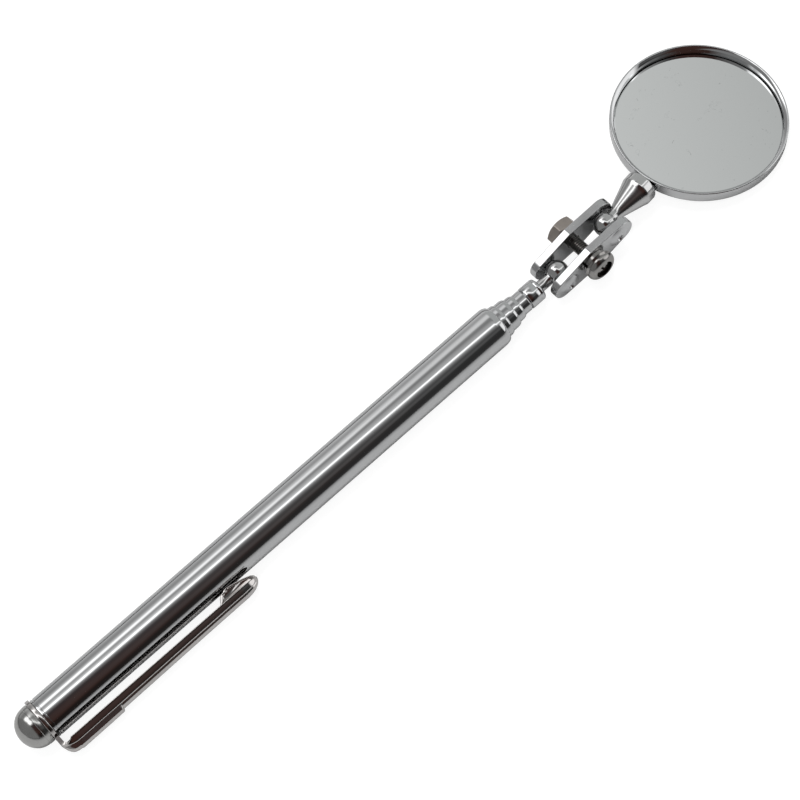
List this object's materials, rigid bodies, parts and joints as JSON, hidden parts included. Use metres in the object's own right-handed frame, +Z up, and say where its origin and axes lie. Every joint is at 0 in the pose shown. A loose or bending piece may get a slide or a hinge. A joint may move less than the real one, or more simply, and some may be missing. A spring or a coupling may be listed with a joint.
{
  "type": "telescoping inspection mirror",
  "caption": "Round mirror on a pinned pair of ball joints at the end of a telescoping chrome handle with a pocket clip, for looking into places out of sight.",
  "frame": {"origin": "centre of the collapsed tool's box, on the table it lies on", "axes": "+X along the handle towards the mirror, +Y away from the pocket clip, +Z up"},
  "size_m": [0.1828, 0.033, 0.0088],
  "materials": {
    "chrome_tube": "bright chrome plate with fine handling scratches",
    "satin_cap": "satin chrome plate, finely pitted",
    "clip_steel": "plated spring steel with slight warm tint",
    "plate_steel": "stamped steel, satin outside and darker inside",
    "ball_chrome": "bright turned and plated steel",
    "screw_steel": "dark nickel-plated steel",
    "nut_nickel": "speckled brownish-grey nickel",
    "sleeve_brass": "bare brass",
    "mirror_silver": "silvered glass with light dust and hairline scratches",
    "backing_foam": "black foam pad"
  },
  "bodies": {
    "handle": {"handle_tube": "chrome_tube", "end_cap": "satin_cap", "clip_ring": "clip_steel"},
    "clip": {"clip_blade": "clip_steel"},
    "stage_2": {"stage_2_tube": "chrome_tube", "stage_2_sleeve": "sleeve_brass"},
    "stage_3": {"stage_3_tube": "chrome_tube", "stage_3_sleeve": "sleeve_brass"},
    "stage_4": {"stage_4_tube": "chrome_tube", "stage_4_sleeve": "sleeve_brass"},
    "stage_5": {"stage_5_tube": "chrome_tube", "stage_5_sleeve": "sleeve_brass", "tip_ferrule": "chrome_tube"},
    "handle_ball": {"handle_ball_stud": "ball_chrome"},
    "clamp": {"nut_side_plate": "plate_steel", "screw_side_plate": "plate_steel", "lock_washer": "screw_steel", "hex_nut": "nut_nickel"},
    "screw": {"clamp_screw": "screw_steel"},
    "mirror_ball": {"mirror_ball_stud": "ball_chrome"},
    "mirror_head": {"mirror_frame": "chrome_tube", "mirror_glass": "mirror_silver", "backing_pad": "backing_foam"}
  },
  "joints": [
    {"name": "clip_flex", "type": "hinge", "parent": "handle", "child": "clip", "pos_m": [-0.08641, -0.00904, 0.00309], "axis": [0, 0.2588, -0.9659], "range_deg": [0, 7], "stiffness_Nm_per_rad": 0.5},
    {"name": "stage_2_slide", "type": "slide", "parent": "handle", "child": "stage_2", "axis": [1, 0, 0], "range_m": [0, 0.088]},
    {"name": "stage_3_slide", "type": "slide", "parent": "stage_2", "child": "stage_3", "axis": [1, 0, 0], "range_m": [0, 0.088]},
    {"name": "stage_4_slide", "type": "slide", "parent": "stage_3", "child": "stage_4", "axis": [1, 0, 0], "range_m": [0, 0.088]},
    {"name": "stage_5_slide", "type": "slide", "parent": "stage_4", "child": "stage_5", "axis": [1, 0, 0], "range_m": [0, 0.088]},
    {"name": "tube_twist", "type": "hinge", "parent": "stage_5", "child": "handle_ball", "pos_m": [0.03532, -0.00421, 0.00439], "axis": [1, 0, 0], "continuous": true},
    {"name": "clamp_tilt", "type": "hinge", "parent": "handle_ball", "child": "clamp", "pos_m": [0.03532, -0.00421, 0.00439], "axis": [0, -1, 0], "range_deg": [-90, 80]},
    {"name": "screw_turn", "type": "hinge", "parent": "clamp", "child": "screw", "pos_m": [0.04141, -0.00421, 0.00527], "axis": [0, -1, 0], "range_deg": [0, 180]},
    {"name": "mirror_tilt", "type": "hinge", "parent": "clamp", "child": "mirror_ball", "pos_m": [0.0475, -0.00421, 0.00616], "axis": [0, -1, 0], "range_deg": [-55, 80]},
    {"name": "mirror_spin", "type": "hinge", "parent": "mirror_ball", "child": "mirror_head", "pos_m": [0.0475, -0.00421, 0.00616], "axis": [0.9811, 0.1545, -0.1167], "continuous": true}
  ]
}
